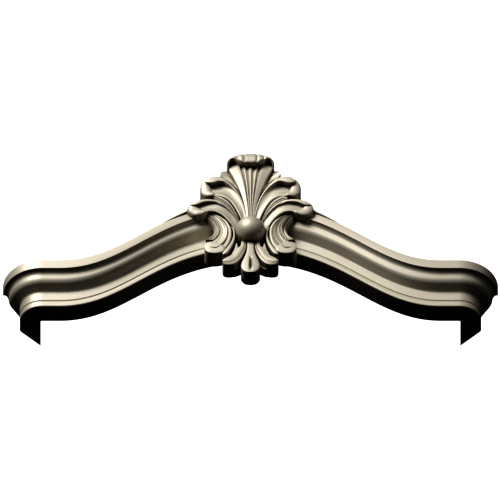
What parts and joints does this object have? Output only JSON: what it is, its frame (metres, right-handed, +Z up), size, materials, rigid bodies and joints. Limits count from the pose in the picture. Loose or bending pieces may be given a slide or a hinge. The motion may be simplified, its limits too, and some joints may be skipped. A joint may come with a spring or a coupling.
{
  "type": "arched cornice pediment with rocaille leaf cartouche",
  "caption": "Arched crown moulding with return ends and a carved leaf cartouche and boss over its middle, cut flat behind to be fixed on a cupboard front.",
  "frame": {"origin": "on the flat back, on the centre line, in the middle of the moulding's height at the crown of the arch", "axes": "+X along the moulding, +Y to the back, into the furniture, and +Z up"},
  "size_m": [1.0604, 0.1923, 0.4037],
  "materials": {
    "moulding": "satin champagne lacquer with a soft metal lustre",
    "carving": "satin champagne lacquer with a soft metal lustre, darker in the hollows"
  },
  "bodies": {
    "root": {"cornice": "moulding", "cartouche": "carving"}
  },
  "joints": []
}
